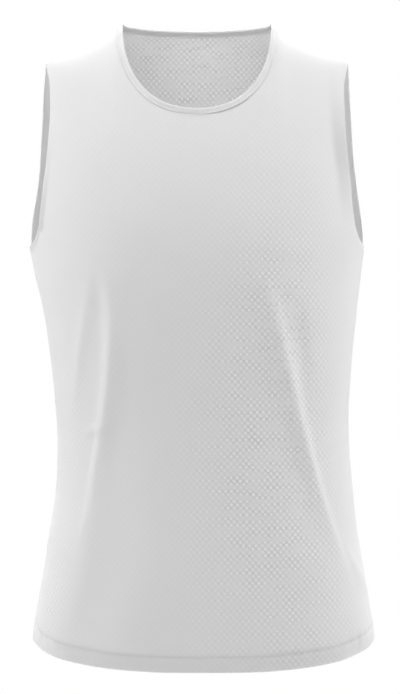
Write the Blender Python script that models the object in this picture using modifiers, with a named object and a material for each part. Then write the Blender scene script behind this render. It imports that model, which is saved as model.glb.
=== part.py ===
"""Sleeveless cycling base layer, size M, standing open as if it were worn.

Three sewn pieces: a front, a back and a narrow neck band. Front and back meet at
the two side seams and the two shoulder seams. Neck, armholes and hem are open.

Units are metres. +Z is up and the front faces -Y. The origin is midway between
the two high shoulder points, where the wearer's shoulders hold the garment up.

Both panels lie on one form, given by a share round the panel and a rise up it.
"""

from collections import namedtuple

import bpy
import numpy as np

# Cloth
WALL = 0.0016
HEM_TURN_UP = 0.0010  # what the turned-up layer adds to the wall at the hem
SEAM_GAP = 0.0003  # between two pieces at a seam
CLOTH_ROUGHNESS = 0.85

# Hem and shoulders
HEM_SIDE_HEIGHT = -0.6335  # of the hem at the side seams
HEM_DIP = 0.0268  # how much lower the hem is at the centre
HEM_BOWL_SHARE = 0.645  # of the way to a side seam, to where the hem is level
HEM_BOWL_POWER = 2.7
HEM_BOWL_SOFTNESS = 0.6
HEM_HEIGHT = 0.015  # depth of the turned-up hem
HEM_RAMP = 0.002  # height over which the turned-up layer ends
HEM_ROWS = 2  # of points in the turned-up hem, which are the lowest rows
UNDERARM_HEIGHT = -0.233
TIP_HEIGHT = -0.0418  # of the form's shoulder tips
TIP_HALF_WIDTH = 0.1612  # from the centre to a shoulder tip of the form
SHOULDER_HALF_WIDTH = 0.158  # from the centre to where a shoulder seam ends

# Neck and its binding
NECK_HALF_WIDTH = 0.0822  # to the seam between shoulder and neck band
BAND_WIDTH = 0.0062
BAND_THICKNESS = 0.0026
BAND_PROUD = 0.0006  # how far the band stands out of the cloth
BAND_LINES = 3  # of points across the band
BAND_EDGE_ROUND = 0.0008  # width of its rounded edges
BAND_EDGE_ANGLE = 60  # degrees, past which an edge of it is rounded
BAND_COLOUR = (0.80, 0.80, 0.81, 1.0)

# Horizontal sections of the form, from the hem up to the shoulder tips. The depths
# are from the side seam to the front and to the back, before the shoulders round
# over. shift moves a section sideways, because the hem hangs a little to the right.
Section = namedtuple("Section", "height half_width front_depth back_depth squareness shift")
SECTIONS = (
    Section(-0.690, 0.1795, 0.1015, 0.1115, 3.45, 0.0067),
    Section(-0.640, 0.1772, 0.1038, 0.1120, 3.35, 0.0067),
    Section(-0.610, 0.1728, 0.1052, 0.1105, 3.10, 0.0067),
    Section(-0.548, 0.1625, 0.1062, 0.1060, 2.75, 0.0070),
    Section(-0.486, 0.1540, 0.105, 0.098, 2.50, 0.0075),
    Section(-0.423, 0.1512, 0.104, 0.094, 2.44, 0.0060),
    Section(-0.361, 0.1552, 0.107, 0.097, 2.42, 0.0046),
    Section(-0.300, 0.1625, 0.113, 0.105, 2.38, 0.0034),
    Section(-0.262, 0.1690, 0.118, 0.111, 2.35, 0.0012),
    Section(UNDERARM_HEIGHT, 0.1738, 0.120, 0.114, 2.35, 0.0),
    Section(-0.205, 0.1762, 0.1195, 0.1155, 2.35, 0.0),
    Section(-0.165, 0.1740, 0.116, 0.116, 2.35, 0.0),
    Section(-0.120, 0.1697, 0.110, 0.114, 2.35, 0.0),
    Section(-0.075, 0.1655, 0.103, 0.110, 2.35, 0.0),
    Section(TIP_HEIGHT, TIP_HALF_WIDTH, 0.098, 0.106, 2.35, 0.0),
)
CHEST_SQUARENESS = 2.35  # of every section from the underarm up

# Line of the shoulders seen from the front. Inside the neck opening it carries on
# up the neck, which gives the neck band its slope.
Ridge = namedtuple("Ridge", "across height")
RIDGE = (
    Ridge(0.0000, 0.0300),
    Ridge(0.0450, 0.0168),
    Ridge(0.0640, 0.0068),
    Ridge(0.0720, 0.0015),
    Ridge(0.0785, -0.0022),
    Ridge(0.0840, -0.0064),
    Ridge(0.0908, -0.0125),
    Ridge(0.0993, -0.0178),
    Ridge(0.1160, -0.0252),
    Ridge(0.1357, -0.0334),
    Ridge(TIP_HALF_WIDTH, TIP_HEIGHT),
)

# Armhole edges: half the width between the two armholes, on the front and the back
Armhole = namedtuple("Armhole", "height front_half_width back_half_width")
ARMHOLE = (
    Armhole(UNDERARM_HEIGHT, 0.1590, 0.1738),
    Armhole(-0.2136, 0.1602, 0.1742),
    Armhole(-0.1970, 0.1582, 0.1730),
    Armhole(-0.1712, 0.1554, 0.1692),
    Armhole(-0.1456, 0.1526, 0.1659),
    Armhole(-0.1202, 0.1510, 0.1640),
    Armhole(-0.0950, 0.1508, 0.1625),
    Armhole(-0.0700, 0.1520, 0.1608),
    Armhole(TIP_HEIGHT, SHOULDER_HALF_WIDTH, SHOULDER_HALF_WIDTH),
)

# Long soft folds, and hollows where the rise is less than 0. A share is the place round
# the panel (-1 and 1 at the side seams, 0 at the centre) at the fold's top, middle and
# bottom.
Fold = namedtuple("Fold", "panel top bottom top_share mid_share bottom_share width rise")
FOLDS = (
    Fold("front", -0.255, -0.615, -0.360, -0.410, -0.540, 0.0115, 0.0046),
    Fold("front", -0.245, -0.410, -0.385, -0.500, -0.615, 0.0105, 0.0022),
    Fold("front", -0.400, -0.700, -0.300, -0.355, -0.425, 0.0230, -0.0034),
    Fold("front", -0.272, -0.588, 0.300, 0.356, 0.820, 0.0110, 0.0042),
    Fold("back", -0.250, -0.590, 0.400, 0.511, 0.720, 0.0120, 0.0044),
    Fold("back", -0.275, -0.585, -0.380, -0.519, -0.790, 0.0115, 0.0042),
    Fold("back", -0.420, -0.700, -0.330, -0.365, -0.420, 0.0220, -0.0030),
)
QUARTER_GIRTH = 0.245  # along the cloth from the centre of a panel to a side seam

# The two panels. side is the sign of Y, and roundness how full the shoulder's curve
# is. neck_drop is from the neck seam at the shoulder down to the neck seam at the
# centre. The armhole's low corner is where its bottom turns up, and a high
# corner_power keeps that bottom level. The columns count from the centre to where
# the neck seam and the armhole turn upwards, and the rows lie below and beside the
# neck.
Panel = namedtuple(
    "Panel",
    "name side roundness neck_drop neck_squareness corner_height corner_power"
    " neck_columns edge_columns chest_rows shoulder_rows colour",
)
PANELS = (
    Panel("front", -1, 2.15, 0.1003, 2.25, -0.2136, 5.0, 6, 17, 7, 9, (0.86, 0.86, 0.87, 1.0)),
    Panel("back", 1, 2.15, 0.0020, 1.85, -0.1970, 2.0, 7, 20, 11, 6, (0.84, 0.84, 0.85, 1.0)),
)
NECK_TURN = 50  # degrees round the neck seam, from the centre to where it turns upwards
COLUMNS = 24  # from the centre of a panel to a side seam
BODY_ROWS = 20  # from the hem's ramp to the underarm
SHOULDER_ROW_POWER = 2.2  # crowds the rows towards the shoulder seam, where the form turns over

SLOPE_STEP = 1e-4  # of share and rise, for slopes of the form
ON_SEAM = 1 - 1e-6  # a share or rise past this is at a seam
CLOSING_ROUNDS = 12  # of closing in on a place of the form


def smooth(rows, column, at):
    """Cubic curve through one column of a table, level at its first row.

    The table's first column is the place. Past its ends the curve stays level.
    """
    place = np.array([row[0] for row in rows])
    value = np.array([getattr(row, column) for row in rows])
    slope = np.zeros(len(rows))
    slope[1:-1] = (value[2:] - value[:-2]) / (place[2:] - place[:-2])
    slope[-1] = (value[-1] - value[-2]) / (place[-1] - place[-2])
    at = np.clip(at, place[0], place[-1])
    i = np.clip(np.searchsorted(place, at, side="right") - 1, 0, len(rows) - 2)
    gap = place[i + 1] - place[i]
    t = (at - place[i]) / gap
    from_start = (1 + 2 * t) * (1 - t) ** 2 * value[i] + t * (1 - t) ** 2 * gap * slope[i]
    from_end = t**2 * (3 - 2 * t) * value[i + 1] + t**2 * (t - 1) * gap * slope[i + 1]
    return from_start + from_end


def superellipse(quarters, squareness):
    """Point of a superellipse of radius 1 as (across, along), at that many quarter turns from along."""
    across = np.sin(quarters * np.pi / 2)
    along = np.cos(quarters * np.pi / 2)
    size = (np.abs(across) ** squareness + np.abs(along) ** squareness) ** (-1 / squareness)
    return across * size, along * size


def quarters_of(across, squareness):
    """Quarter turns at which the superellipse is that far across."""
    across = np.clip(across, -1, 1)
    along = (1 - np.abs(across) ** squareness) ** (1 / squareness)
    return np.arctan2(across, along) / (np.pi / 2)


def side_height(up):
    """Height of the form's side line, given how far up from the underarm (0) to the tip (1)."""
    return UNDERARM_HEIGHT + (TIP_HEIGHT - UNDERARM_HEIGHT) * up


def hem_level(share):
    """Height of the hem's edge: a bowl across each panel, softened into level sides."""
    bowl = 1 - (np.abs(share) / HEM_BOWL_SHARE) ** HEM_BOWL_POWER
    return HEM_SIDE_HEIGHT - HEM_DIP * (bowl + np.hypot(bowl, HEM_BOWL_SOFTNESS)) / 2


def form_point(panel, share, rise):
    """Point of the form under a panel.

    share runs from -1 at one side seam, through 0 at the centre, to 1 at the other.
    rise runs from -1 at the hem, through 0 at the underarm, to 1 at the shoulders.
    """
    share, rise = np.broadcast_arrays(share, rise)
    hem = hem_level(share)
    level = hem + (UNDERARM_HEIGHT - hem) * (1 + np.minimum(rise, 0))
    up, over = superellipse(np.maximum(rise, 0), panel.roundness)
    height = level + side_height(up) - UNDERARM_HEIGHT
    across, along = superellipse(share, smooth(SECTIONS, "squareness", height))
    ridge = smooth(RIDGE, "height", TIP_HALF_WIDTH * np.abs(across))
    x = smooth(SECTIONS, "shift", height) + smooth(SECTIONS, "half_width", height) * across
    y = panel.side * smooth(SECTIONS, panel.name + "_depth", height) * along * over
    z = level + (ridge - UNDERARM_HEIGHT) * up
    return np.stack([x, y, z], axis=-1)


def form_normal(panel, share, rise):
    """Outward direction of the form. On a seam it is square to Y, so both panels agree there."""
    share, rise = np.broadcast_arrays(share, rise)
    right = form_point(panel, np.minimum(share + SLOPE_STEP, 1), rise)
    left = form_point(panel, np.maximum(share - SLOPE_STEP, -1), rise)
    above = form_point(panel, share, np.minimum(rise + SLOPE_STEP, 1))
    below = form_point(panel, share, np.maximum(rise - SLOPE_STEP, -1))
    normal = -panel.side * np.cross(right - left, above - below)
    normal[..., 1] = np.where(on_seam(share, rise), 0, normal[..., 1])
    return normal / np.linalg.norm(normal, axis=-1, keepdims=True)


def on_seam(share, rise):
    """Whether a panel ends there at a side seam or a shoulder seam."""
    return (np.abs(share) > ON_SEAM) | (rise > ON_SEAM)


def place_on_form(panel, across, height):
    """Share and rise of a place above the underarm, given how far across it is and its height.

    The form's width and its ridge depend on the rise, so the answer is closed in on.
    """
    up = np.ones(np.shape(across))
    for _ in range(CLOSING_ROUNDS):
        reach = across / smooth(SECTIONS, "half_width", side_height(up))
        ridge = smooth(RIDGE, "height", TIP_HALF_WIDTH * reach)
        up = np.clip((height - UNDERARM_HEIGHT) / (ridge - UNDERARM_HEIGHT), 0, 1)
    return quarters_of(reach, CHEST_SQUARENESS), quarters_of(up, panel.roundness)


def neckline(panel, turn):
    """Share and rise of the neck seam, at so many degrees from the centre to the shoulder seam."""
    across, along = superellipse(turn / 90, panel.neck_squareness)
    top = smooth(RIDGE, "height", NECK_HALF_WIDTH)
    return place_on_form(panel, NECK_HALF_WIDTH * across, top - panel.neck_drop * along)


def armhole_reach(panel, rise):
    """How far across the form the armhole's edge is at that rise, as a share of its half width."""
    up, _ = superellipse(rise, panel.roundness)
    edge = smooth(ARMHOLE, panel.name + "_half_width", side_height(up))
    return np.minimum(edge / smooth(SECTIONS, "half_width", side_height(up)), 1)


def reach_of(share):
    """How far across the chest a share is, as a share of its half width."""
    across, _ = superellipse(share, CHEST_SQUARENESS)
    return across


def underarm_row(panel, column):
    """The grid row at the underarm, whose outer columns are the bottom of the armhole."""
    corner_up = (panel.corner_height - UNDERARM_HEIGHT) / (TIP_HEIGHT - UNDERARM_HEIGHT)
    corner_rise = quarters_of(corner_up, panel.roundness)
    corner = quarters_of(armhole_reach(panel, corner_rise), CHEST_SQUARENESS)
    edge = panel.edge_columns
    inside = corner * column / edge
    outside = corner + (1 - corner) * (column - edge) / (COLUMNS - edge)
    share = np.where(column <= edge, inside, outside)
    to_seam = np.minimum((1 - share) / (1 - corner), 1)
    return share, corner_rise * to_seam**panel.corner_power


def row_beside_neck(panel, column, turn):
    """A grid row from the neck seam, at that turn round it, out to the armhole's edge."""
    neck_share, rise = neckline(panel, turn)
    from_neck = (column - panel.neck_columns) / (panel.edge_columns - panel.neck_columns)
    neck_reach = reach_of(neck_share)
    reach = neck_reach + (armhole_reach(panel, rise) - neck_reach) * np.maximum(from_neck, 0)
    return quarters_of(reach, CHEST_SQUARENESS), np.full(len(column), rise)


def low_neck_row(panel, column):
    """The grid row whose middle columns are the low part of the neck seam."""
    share, rise = row_beside_neck(panel, column, NECK_TURN)
    middle = column <= panel.neck_columns
    turn = NECK_TURN * np.minimum(column / panel.neck_columns, 1)
    neck_share, neck_rise = neckline(panel, turn)
    return np.where(middle, neck_share, share), np.where(middle, neck_rise, rise)


def panel_grid(panel):
    """Share and rise of every grid point of a panel, and which of the points it has.

    Each edge of the panel follows a grid line. The columns end at the low part of
    the neck and at the armhole's bottom, and the rows at the sides of both.
    """
    centred = np.arange(-COLUMNS, COLUMNS + 1)
    column = np.abs(centred)
    under_share, under_rise = underarm_row(panel, column)
    low_share, low_rise = low_neck_row(panel, column)
    rows = []

    # from the hem, where the columns are even, to the underarm
    length = UNDERARM_HEIGHT - HEM_SIDE_HEIGHT
    hem_top = HEM_HEIGHT / length
    for part in (0, hem_top, *np.linspace(hem_top + HEM_RAMP / length, 1, BODY_ROWS)):
        even = column / COLUMNS
        rows.append((even + (under_share - even) * part**2, -1 + (1 + under_rise) * part))

    # from the underarm to the low part of the neck, along the armhole's edge
    edge = centred == panel.edge_columns
    for part in np.linspace(0, 1, panel.chest_rows + 1)[1:]:
        share = under_share + (low_share - under_share) * part
        rise = under_rise + (low_rise - under_rise) * part
        armhole = quarters_of(armhole_reach(panel, rise[edge]), CHEST_SQUARENESS)
        moved = (armhole - share[edge]) * (column / panel.edge_columns) ** 2
        rows.append((share + moved, rise))

    # from there to the shoulder seam, beside the neck
    for part in np.linspace(1, 0, panel.shoulder_rows + 1)[1:]:
        turn = 90 - (90 - NECK_TURN) * part**SHOULDER_ROW_POWER
        rows.append(row_beside_neck(panel, column, turn))

    row = np.arange(len(rows))[:, None]
    low_row = BODY_ROWS + 1 + panel.chest_rows
    inside_armhole = (row <= BODY_ROWS + 1) | (column <= panel.edge_columns)
    outside_neck = (row <= low_row) | (column >= panel.neck_columns)
    share = np.array([share for share, _ in rows]) * np.sign(centred)
    return share, np.array([rise for _, rise in rows]), inside_armhole & outside_neck


def fold_height(panel, share, height):
    """How far the folds lift the cloth off the form: a bell curve across each fold's path."""
    lift = np.zeros(np.shape(height))
    for fold in FOLDS:
        if fold.panel != panel.name:
            continue
        down = np.clip((fold.top - height) / (fold.top - fold.bottom), 0, 1)
        path = (1 - down) ** 2 * fold.top_share + down**2 * fold.bottom_share
        path = path + 2 * down * (1 - down) * fold.mid_share
        away = (share - path) * QUARTER_GIRTH / fold.width
        lift = lift + fold.rise * np.sin(np.pi * down) * np.exp(-(away**2))
    return lift


def new_object(name, points, faces, colour, collection):
    """Adds a named mesh object with its own cloth material."""
    mesh = bpy.data.meshes.new(name)
    mesh.from_pydata(points, [], faces)
    mesh.shade_smooth()
    material = bpy.data.materials.new(name + "_knit")
    material.use_nodes = True
    shader = material.node_tree.nodes["Principled BSDF"]
    shader.inputs["Base Color"].default_value = colour
    shader.inputs["Roughness"].default_value = CLOTH_ROUGHNESS
    shader.inputs["Metallic"].default_value = 0.0
    mesh.materials.append(material)
    piece = bpy.data.objects.new(name, mesh)
    collection.objects.link(piece)
    return piece


def add_wall(piece, thickness):
    """Gives an open surface its thickness, inwards from the surface."""
    wall = piece.modifiers.new("wall", "SOLIDIFY")
    wall.thickness = thickness
    wall.offset = -1
    wall.use_even_offset = True
    return wall


def add_panel(panel, collection):
    """A front or back: one surface over its grid, with a wall that is thicker at the hem."""
    share, rise, there = panel_grid(panel)
    point = form_point(panel, share, rise)
    lift = fold_height(panel, share, point[..., 2])
    point = point + form_normal(panel, share, rise) * lift[..., None]
    point[..., 1] += np.where(on_seam(share, rise), panel.side * SEAM_GAP / 2, 0)

    number = np.full(there.shape, -1)
    number[there] = np.arange(there.sum())
    corners = (number[:-1, :-1], number[:-1, 1:], number[1:, 1:], number[1:, :-1])
    faces = np.stack(corners, axis=-1)
    faces = faces[(faces >= 0).all(axis=-1)]
    if panel.side > 0:
        faces = faces[:, ::-1]  # so that the back's faces point outwards too
    name = panel.name + "_panel"
    piece = new_object(name, point[there].tolist(), faces.tolist(), panel.colour, collection)

    hem = piece.vertex_groups.new(name="hem")
    hem.add(number[:HEM_ROWS].ravel().tolist(), 1.0, "REPLACE")
    wall = add_wall(piece, WALL + HEM_TURN_UP)
    wall.vertex_group = hem.name
    wall.thickness_vertex_group = WALL / (WALL + HEM_TURN_UP)
    return piece


def neck_seam(panel):
    """Points and outward directions along the panel's neck edge, from its left to its right."""
    share, rise, _ = panel_grid(panel)
    low = BODY_ROWS + 1 + panel.chest_rows
    left = COLUMNS - panel.neck_columns
    right = COLUMNS + panel.neck_columns
    down = [(row, left) for row in range(len(share) - 1, low, -1)]
    level = [(low, column) for column in range(left, right + 1)]
    up = [(row, right) for row in range(low + 1, len(share))]
    row, column = np.array(down + level + up).T
    share, rise = share[row, column], rise[row, column]
    return form_point(panel, share, rise), form_normal(panel, share, rise)


def add_neck_band(collection):
    """The binding: a flat strip with rounded edges, run once round the neck seam."""
    front, back = (neck_seam(panel) for panel in PANELS)
    seam, outward = (np.concatenate([f, b[-2:0:-1]]) for f, b in zip(front, back))
    forward = np.roll(seam, -1, axis=0) - np.roll(seam, 1, axis=0)
    into_neck = np.cross(outward, forward)
    into_neck /= np.linalg.norm(into_neck, axis=1, keepdims=True)

    reach = SEAM_GAP + BAND_WIDTH * np.linspace(0, 1, BAND_LINES)
    raised = seam + outward * BAND_PROUD
    point = raised[:, None] + into_neck[:, None] * reach[:, None]
    number = np.arange(point[..., 0].size).reshape(len(seam), BAND_LINES)
    beyond = np.roll(number, -1, axis=0)
    faces = np.stack([number[:, :-1], beyond[:, :-1], beyond[:, 1:], number[:, 1:]], axis=-1)
    points, faces = point.reshape(-1, 3).tolist(), faces.reshape(-1, 4).tolist()
    piece = new_object("neck_band", points, faces, BAND_COLOUR, collection)
    add_wall(piece, BAND_THICKNESS)
    edge = piece.modifiers.new("rounded_edge", "BEVEL")
    edge.width = BAND_EDGE_ROUND
    edge.segments = 1
    edge.limit_method = "ANGLE"
    edge.angle_limit = np.radians(BAND_EDGE_ANGLE)
    return piece


def main():
    for piece in list(bpy.data.objects):
        bpy.data.objects.remove(piece)
    garment = bpy.data.collections.new("cycling_base_layer")
    bpy.context.scene.collection.children.link(garment)
    for panel in PANELS:
        add_panel(panel, garment)
    add_neck_band(garment)


main()
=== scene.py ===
from collections import namedtuple

import bpy
import numpy as np
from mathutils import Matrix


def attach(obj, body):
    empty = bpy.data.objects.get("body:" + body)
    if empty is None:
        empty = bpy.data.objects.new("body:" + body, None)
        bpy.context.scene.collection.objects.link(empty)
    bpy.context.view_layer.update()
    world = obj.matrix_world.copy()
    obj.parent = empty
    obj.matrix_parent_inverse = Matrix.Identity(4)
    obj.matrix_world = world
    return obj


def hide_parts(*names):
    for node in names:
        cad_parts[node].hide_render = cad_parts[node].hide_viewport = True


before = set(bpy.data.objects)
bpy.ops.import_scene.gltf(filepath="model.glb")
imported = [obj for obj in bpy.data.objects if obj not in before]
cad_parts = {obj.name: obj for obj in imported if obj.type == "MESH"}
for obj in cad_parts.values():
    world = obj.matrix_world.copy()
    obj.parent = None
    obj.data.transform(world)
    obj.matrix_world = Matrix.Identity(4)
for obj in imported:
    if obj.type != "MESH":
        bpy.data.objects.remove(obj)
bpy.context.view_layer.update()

# FRONT PANEL
# One piece of white polyester mesh knit from the hem to the shoulder seams, cut with a
# scooped neck and two armholes. Its lower edge is turned up inside and stitched once.
# It takes the form that a wearer would give it, with a few long soft folds at the sides.

WALL = 0.0009  # of one layer of the knit
HEM_SIDE_HEIGHT = -0.6335  # of the hem at the side seams
HEM_DIP = 0.0268  # how much lower the hem is at the centre
HEM_BOWL_SHARE = 0.645  # of the way to a side seam, to where the hem is level
HEM_BOWL_POWER = 2.7
HEM_BOWL_SOFTNESS = 0.6
UNDERARM_HEIGHT = -0.233
TIP_HEIGHT = -0.0418  # of the form's shoulder tips
TIP_HALF_WIDTH = 0.1612
SHOULDER_HALF_WIDTH = 0.158  # to where a shoulder seam ends
NECK_HALF_WIDTH = 0.0822  # to the neck seam, as the solids have it
UNDER_BINDING = 0.0016  # how far the panels run on under the binding
SEAM_GAP = 0.0003
FAR = 1.0  # stands for a distance that is too long to matter
AT_SEAM = 1 - 1e-6  # share or rise from which a point lies on a seam
CLOSING_ROUNDS = 12  # in which a place on the form is closed in on

# Level sections of the form, from the hem up to the shoulder tips
Section = namedtuple("Section", "height half_width front_depth back_depth squareness shift")
SECTIONS = (
    Section(-0.690, 0.1795, 0.1015, 0.1115, 3.45, 0.0067),
    Section(-0.640, 0.1772, 0.1038, 0.1120, 3.35, 0.0067),
    Section(-0.610, 0.1728, 0.1052, 0.1105, 3.10, 0.0067),
    Section(-0.548, 0.1625, 0.1062, 0.1060, 2.75, 0.0070),
    Section(-0.486, 0.1540, 0.105, 0.098, 2.50, 0.0075),
    Section(-0.423, 0.1512, 0.104, 0.094, 2.44, 0.0060),
    Section(-0.361, 0.1552, 0.107, 0.097, 2.42, 0.0046),
    Section(-0.300, 0.1625, 0.113, 0.105, 2.38, 0.0034),
    Section(-0.262, 0.1690, 0.118, 0.111, 2.35, 0.0012),
    Section(UNDERARM_HEIGHT, 0.1738, 0.120, 0.114, 2.35, 0.0),
    Section(-0.205, 0.1762, 0.1195, 0.1155, 2.35, 0.0),
    Section(-0.165, 0.1740, 0.116, 0.116, 2.35, 0.0),
    Section(-0.120, 0.1697, 0.110, 0.114, 2.35, 0.0),
    Section(-0.075, 0.1655, 0.103, 0.110, 2.35, 0.0),
    Section(TIP_HEIGHT, TIP_HALF_WIDTH, 0.098, 0.106, 2.35, 0.0),
)
CHEST_SQUARENESS = 2.35

# Line of the shoulders from the front; inside the neck it carries on up the neck
Ridge = namedtuple("Ridge", "across height")
RIDGE = (
    Ridge(0.0000, 0.0300),
    Ridge(0.0450, 0.0168),
    Ridge(0.0640, 0.0068),
    Ridge(0.0720, 0.0015),
    Ridge(0.0785, -0.0022),
    Ridge(0.0840, -0.0064),
    Ridge(0.0908, -0.0125),
    Ridge(0.0993, -0.0178),
    Ridge(0.1160, -0.0252),
    Ridge(0.1357, -0.0334),
    Ridge(TIP_HALF_WIDTH, TIP_HEIGHT),
)

# Armhole edges: half the width between the two armholes
Armhole = namedtuple("Armhole", "height front_half_width back_half_width")
ARMHOLE = (
    Armhole(UNDERARM_HEIGHT, 0.1590, 0.1738),
    Armhole(-0.2136, 0.1602, 0.1742),
    Armhole(-0.1970, 0.1582, 0.1730),
    Armhole(-0.1712, 0.1554, 0.1692),
    Armhole(-0.1456, 0.1526, 0.1659),
    Armhole(-0.1202, 0.1510, 0.1640),
    Armhole(-0.0950, 0.1508, 0.1625),
    Armhole(-0.0700, 0.1520, 0.1608),
    Armhole(TIP_HEIGHT, SHOULDER_HALF_WIDTH, SHOULDER_HALF_WIDTH),
)

# side is the sign of Y, roundness how full the shoulder's curve is, and neck_drop the
# height from the neck seam at the shoulder to the neck seam at the centre
Cut = namedtuple(
    "Cut",
    "name side roundness neck_drop neck_squareness corner_height corner_power"
    " neck_columns edge_columns",
)
FRONT = Cut("front", -1, 2.15, 0.1003, 2.25, -0.2136, 5.0, 6, 17)
COLUMNS = 24  # coarse columns from the centre of a panel to a side seam
NECK_TURN = 50  # degrees round the neck, from the centre to where the columns turn up


def smooth(rows, column, at):
    """Cubic curve through one column of a table, level at its first row and past its ends."""
    place = np.array([row[0] for row in rows])
    value = np.array([getattr(row, column) for row in rows])
    slope = np.zeros(len(rows))
    slope[1:-1] = (value[2:] - value[:-2]) / (place[2:] - place[:-2])
    slope[-1] = (value[-1] - value[-2]) / (place[-1] - place[-2])
    at = np.clip(at, place[0], place[-1])
    i = np.clip(np.searchsorted(place, at, side="right") - 1, 0, len(rows) - 2)
    gap = place[i + 1] - place[i]
    t = (at - place[i]) / gap
    from_start = (1 + 2 * t) * (1 - t) ** 2 * value[i] + t * (1 - t) ** 2 * gap * slope[i]
    from_end = t**2 * (3 - 2 * t) * value[i + 1] + t**2 * (t - 1) * gap * slope[i + 1]
    return from_start + from_end


def superellipse(quarters, squareness):
    """Unit superellipse as (across, along), so many quarter turns from along."""
    across, along = np.sin(quarters * np.pi / 2), np.cos(quarters * np.pi / 2)
    size = (np.abs(across) ** squareness + np.abs(along) ** squareness) ** (-1 / squareness)
    return across * size, along * size


def quarters_of(across, squareness):
    """Quarter turns at which the unit superellipse is that far across."""
    across = np.clip(across, -1, 1)
    along = (1 - np.abs(across) ** squareness) ** (1 / squareness)
    return np.arctan2(across, along) / (np.pi / 2)


def hem_level(share):
    """Height of the hem's edge: a bowl across each panel, softened into level sides."""
    bowl = 1 - (np.abs(share) / HEM_BOWL_SHARE) ** HEM_BOWL_POWER
    return HEM_SIDE_HEIGHT - HEM_DIP * (bowl + np.hypot(bowl, HEM_BOWL_SOFTNESS)) / 2


def side_height(up):
    """Height of the form's side line, from the underarm (0) to the shoulder tip (1)."""
    return UNDERARM_HEIGHT + (TIP_HEIGHT - UNDERARM_HEIGHT) * up


def form_point(cut, share, rise):
    """Point of the body form: a superellipse round, closing over the shoulders in another.

    share runs from -1 to 1 between the side seams. rise runs from -1 at the hem,
    through 0 at the underarm, to 1 at the shoulder seam.
    """
    share, rise = np.broadcast_arrays(share, rise)
    hem = hem_level(share)
    level = hem + (UNDERARM_HEIGHT - hem) * (1 + np.minimum(rise, 0))
    up, over = superellipse(np.maximum(rise, 0), cut.roundness)
    height = level + side_height(up) - UNDERARM_HEIGHT
    across, along = superellipse(share, smooth(SECTIONS, "squareness", height))
    ridge = smooth(RIDGE, "height", TIP_HALF_WIDTH * np.abs(across))
    x = smooth(SECTIONS, "shift", height) + smooth(SECTIONS, "half_width", height) * across
    y = cut.side * smooth(SECTIONS, cut.name + "_depth", height) * along * over
    z = level + (ridge - UNDERARM_HEIGHT) * up
    return np.stack([x, y, z], axis=-1)


def unit(vectors):
    """Vectors of the same directions, 1 long."""
    return vectors / np.linalg.norm(vectors, axis=-1, keepdims=True)


def form_normal(cut, share, rise):
    """Outward direction of the form, from its slopes; square to Y on a seam."""
    share, rise = np.broadcast_arrays(share, rise)
    step = 1e-4
    round_it = form_point(cut, np.minimum(share + step, 1), rise)
    round_it = round_it - form_point(cut, np.maximum(share - step, -1), rise)
    up_it = form_point(cut, share, np.minimum(rise + step, 1))
    up_it = up_it - form_point(cut, share, np.maximum(rise - step, -1))
    normal = -cut.side * np.cross(round_it, up_it)
    normal[..., 1] = np.where(on_seam(share, rise), 0, normal[..., 1])
    return unit(normal)


def on_seam(share, rise):
    """Whether a panel ends there at a side seam or a shoulder seam."""
    return (np.abs(share) > AT_SEAM) | (rise > AT_SEAM)


def place_on_form(cut, across, height):
    """Share and rise of a place above the underarm, closed in on from its sizes."""
    up = np.ones(np.shape(across))
    for _ in range(CLOSING_ROUNDS):
        reach = across / smooth(SECTIONS, "half_width", side_height(up))
        ridge = smooth(RIDGE, "height", TIP_HALF_WIDTH * reach)
        up = np.clip((height - UNDERARM_HEIGHT) / (ridge - UNDERARM_HEIGHT), 0, 1)
    return quarters_of(reach, CHEST_SQUARENESS), quarters_of(up, cut.roundness)


def neckline(cut, turn, inset=0.0):
    """Share and rise of the neck seam, at so many degrees from the centre to the shoulder.

    inset moves it in towards the neck, to where the cloth ends inside the binding.
    """
    across, along = superellipse(turn / 90, cut.neck_squareness)
    half_width = NECK_HALF_WIDTH - inset
    top = smooth(RIDGE, "height", half_width)
    drop = cut.neck_drop + top - smooth(RIDGE, "height", NECK_HALF_WIDTH)
    return place_on_form(cut, half_width * across, top - (drop - inset) * along)


def armhole_reach(cut, rise):
    """How far across the form the armhole's edge is, as a share of its half width."""
    up, _ = superellipse(rise, cut.roundness)
    edge = smooth(ARMHOLE, cut.name + "_half_width", side_height(up))
    return np.minimum(edge / smooth(SECTIONS, "half_width", side_height(up)), 1)


def underarm_row(cut, column):
    """The grid row at the underarm, whose outer columns are the bottom of the armhole."""
    corner_up = (cut.corner_height - UNDERARM_HEIGHT) / (TIP_HEIGHT - UNDERARM_HEIGHT)
    corner_rise = quarters_of(corner_up, cut.roundness)
    corner = quarters_of(armhole_reach(cut, corner_rise), CHEST_SQUARENESS)
    inside = corner * column / cut.edge_columns
    outside = corner + (1 - corner) * (column - cut.edge_columns) / (COLUMNS - cut.edge_columns)
    share = np.where(column <= cut.edge_columns, inside, outside)
    to_seam = np.minimum((1 - share) / (1 - corner), 1)
    return share, corner_rise * to_seam**cut.corner_power


def rows_beside_neck(cut, column, turn):
    """Grid rows from the neck seam, at that turn round it, out to the armhole's edge."""
    neck_share, rise = neckline(cut, turn, UNDER_BINDING)
    from_neck = (column - cut.neck_columns) / (cut.edge_columns - cut.neck_columns)
    neck_reach, _ = superellipse(neck_share, CHEST_SQUARENESS)
    reach = neck_reach + (armhole_reach(cut, rise) - neck_reach) * np.maximum(from_neck, 0)
    return quarters_of(reach, CHEST_SQUARENESS), np.broadcast_to(rise, reach.shape)


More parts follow.
